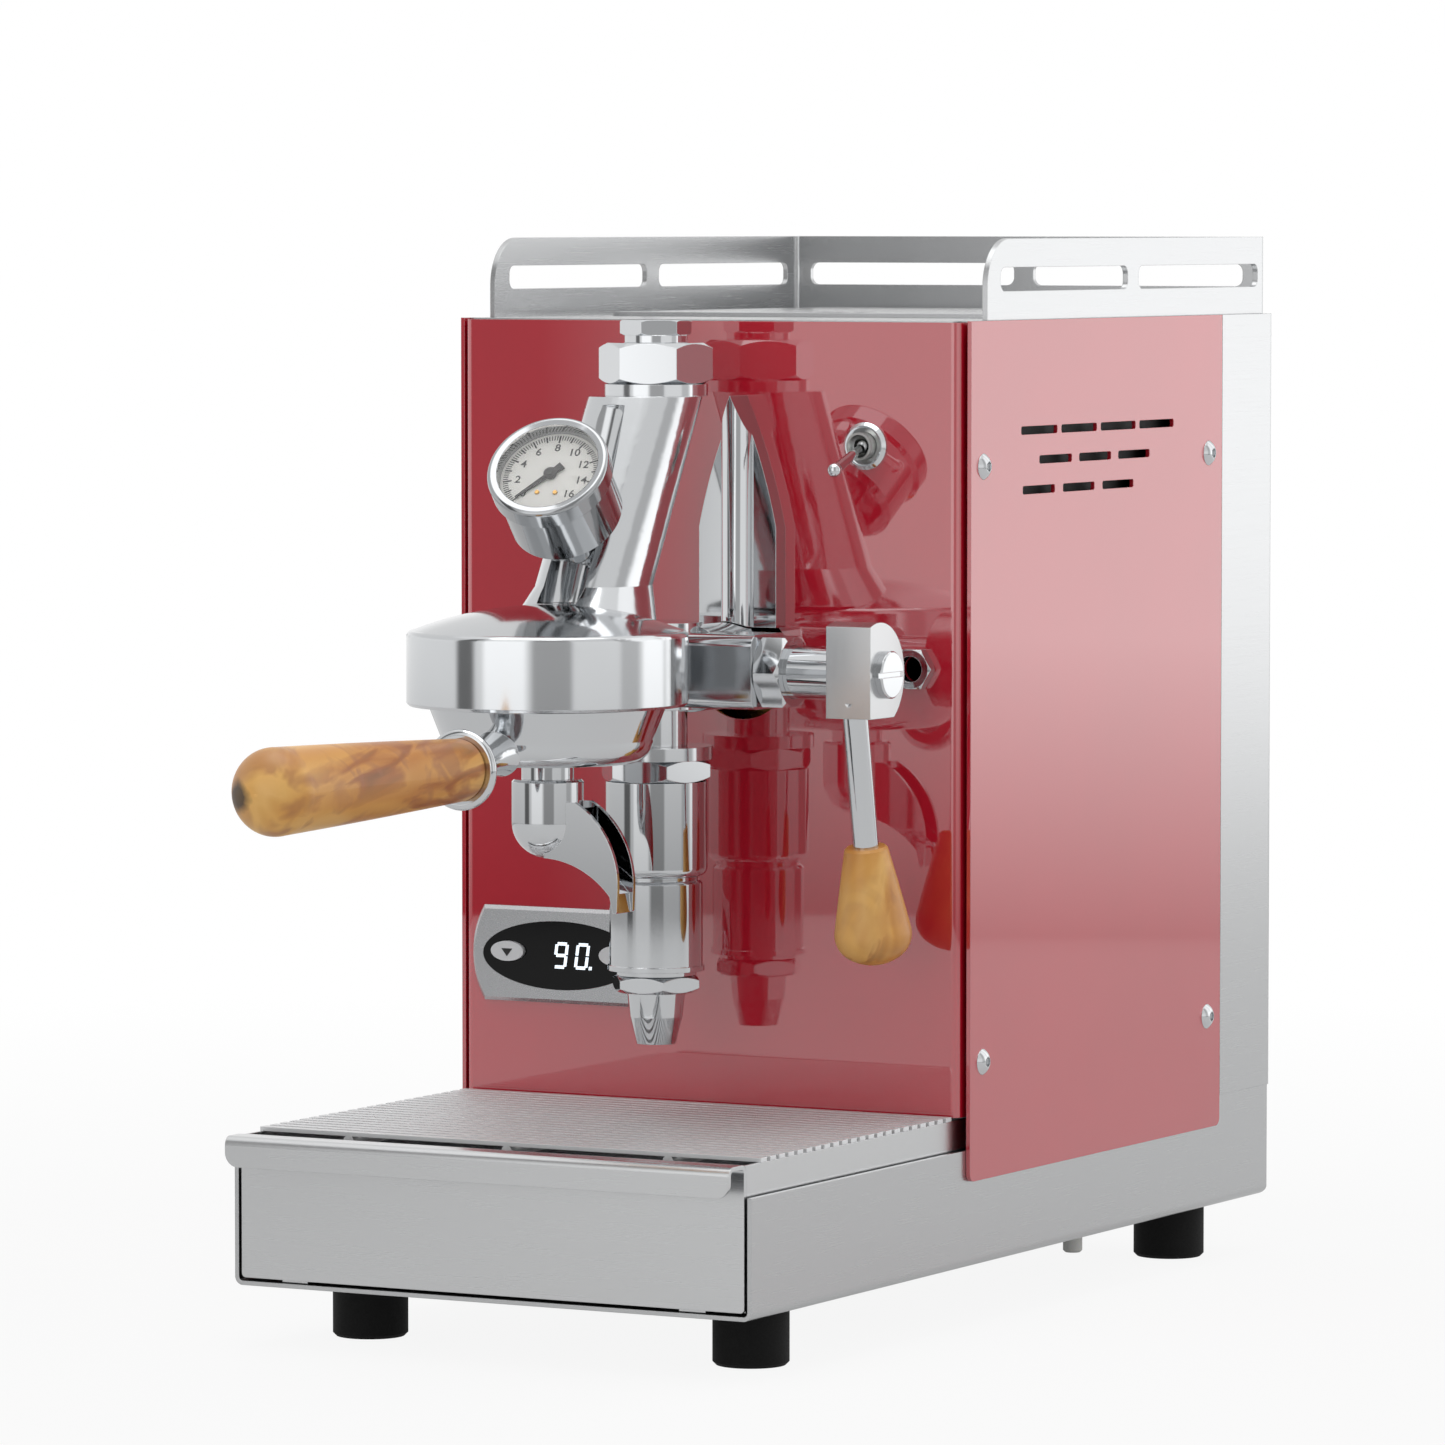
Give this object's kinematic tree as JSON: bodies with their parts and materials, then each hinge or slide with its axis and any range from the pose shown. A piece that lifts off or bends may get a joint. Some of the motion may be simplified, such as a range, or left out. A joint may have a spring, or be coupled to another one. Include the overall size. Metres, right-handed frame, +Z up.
{
  "type": "espresso machine",
  "caption": "Espresso machine with lever group head, pressure gauge, wooden-handled portafilter, drip drawer, cup rail, toggle switch and temperature display",
  "frame": {"origin": "on the floor under the middle of the overall box", "axes": "+X to the machine's right seen from the front, +Y to its back, +Z up"},
  "size_m": [0.2074, 0.5508, 0.3771],
  "materials": {
    "red_paint": "deep red gloss lacquer on sheet steel",
    "stainless": "stainless sheet, finely brushed",
    "chrome": "polished chrome plate",
    "olive_wood": "oiled olive wood with dark streaks",
    "black_rubber": "matt black rubber",
    "zinc_steel": "zinc plated steel",
    "stub_plastic": "pale grey plastic",
    "dial_white": "white printed dial",
    "needle_black": "black painted pointer",
    "clear_glass": "clear flat glass",
    "display_black": "black glossy lens",
    "bezel_silver": "satin silver",
    "button_silver": "silver plastic",
    "tank_plastic": "translucent plastic",
    "boiler_brass": "bare brass",
    "pipe_copper": "bare copper tube",
    "pump_plastic": "black moulded plastic",
    "hose_silicone": "milky silicone hose"
  },
  "bodies": {
    "machine": {"back_cover": "stainless", "back_plate": "chrome", "base_tub": "stainless", "boiler": "boiler_brass", "chassis": "stainless", "control_box": "pump_plastic", "cup_rail": "stainless", "display_bezel": "bezel_silver", "display_lens": "display_black", "drain_stub": "stub_plastic", "exhaust_nozzle": "chrome", "feed_pipe": "pipe_copper", "foot_front_left": "black_rubber", "foot_front_right": "black_rubber", "foot_rear_left": "black_rubber", "foot_rear_right": "black_rubber", "foot_screws": "zinc_steel", "front_panel": "red_paint", "gauge_case": "chrome", "gauge_dial": "dial_white", "gauge_glass": "clear_glass", "gland_nut": "chrome", "group_casting": "chrome", "group_gasket": "black_rubber", "heating_element": "zinc_steel", "infusion_cylinder": "chrome", "infusion_nut": "chrome", "infusion_sleeve": "chrome", "lever_bush": "chrome", "power_inlet": "pump_plastic", "pump": "pump_plastic", "shower_screen": "stainless", "side_panel_left": "red_paint", "side_panel_right": "red_paint", "side_panel_screws": "chrome", "suction_hose": "hose_silicone", "toggle_nut": "chrome", "toggle_switch": "zinc_steel", "top_cap": "chrome", "top_plate": "stainless", "top_plug": "chrome", "water_tank": "tank_plastic"},
    "drip_tray": {"drip_tray": "stainless"},
    "drip_grate": {"drip_grate": "stainless"},
    "brew_lever": {"cam_spindle": "chrome", "lever_head": "stainless", "lever_screw": "chrome", "lever_rod": "chrome", "lever_knob": "olive_wood"},
    "valve_stem": {"valve_stem": "boiler_brass"},
    "portafilter": {"portafilter_body": "chrome", "filter_basket": "stainless", "portafilter_spout": "chrome", "portafilter_ferrule": "chrome", "portafilter_handle": "olive_wood"},
    "gauge_needle": {"gauge_needle": "needle_black"},
    "toggle_bat": {"toggle_bat": "chrome"},
    "button_down": {"button_down": "button_silver"},
    "button_up": {"button_up": "button_silver"},
    "tank_lid": {"tank_lid": "stainless"}
  },
  "joints": [
    {"name": "tray_pull", "type": "slide", "parent": "machine", "child": "drip_tray", "axis": [0, -1, 0], "range_m": [0, 0.15]},
    {"name": "grate_lift", "type": "slide", "parent": "drip_tray", "child": "drip_grate", "axis": [0, 0, 1], "range_m": [0, 0.02]},
    {"name": "lever_lift", "type": "hinge", "parent": "machine", "child": "brew_lever", "pos_m": [0.08, -0.013, 0.2289], "axis": [-1, 0, 0], "range_deg": [0, 85]},
    {"name": "stem_drop", "type": "slide", "parent": "machine", "child": "valve_stem", "axis": [0, 0, -1], "range_m": [0, 0.0022]},
    {"name": "portafilter_turn", "type": "hinge", "parent": "machine", "child": "portafilter", "pos_m": [0, -0.0884, 0.22], "axis": [0, 0, 1], "range_deg": [-45, 0]},
    {"name": "needle_sweep", "type": "hinge", "parent": "machine", "child": "gauge_needle", "pos_m": [0.0042, -0.096, 0.3013], "axis": [-0.1435, 0.7525, -0.6428], "range_deg": [0, 270]},
    {"name": "toggle_flip", "type": "hinge", "parent": "machine", "child": "toggle_bat", "pos_m": [0.0623, 0.0224, 0.3055], "axis": [-1, 0, 0], "range_deg": [0, 40]},
    {"name": "down_press", "type": "slide", "parent": "machine", "child": "button_down", "axis": [0, 1, 0], "range_m": [0, 0.0008], "stiffness_N_per_m": 200},
    {"name": "up_press", "type": "slide", "parent": "machine", "child": "button_up", "axis": [0, 1, 0], "range_m": [0, 0.0008], "stiffness_N_per_m": 200},
    {"name": "lid_lift", "type": "slide", "parent": "machine", "child": "tank_lid", "axis": [0, 0, 1], "range_m": [0, 0.05]}
  ],
  "couplings": [
    {"joint": "stem_drop", "follows": "lever_lift", "m_per_rad": 0.0014155}
  ]
}
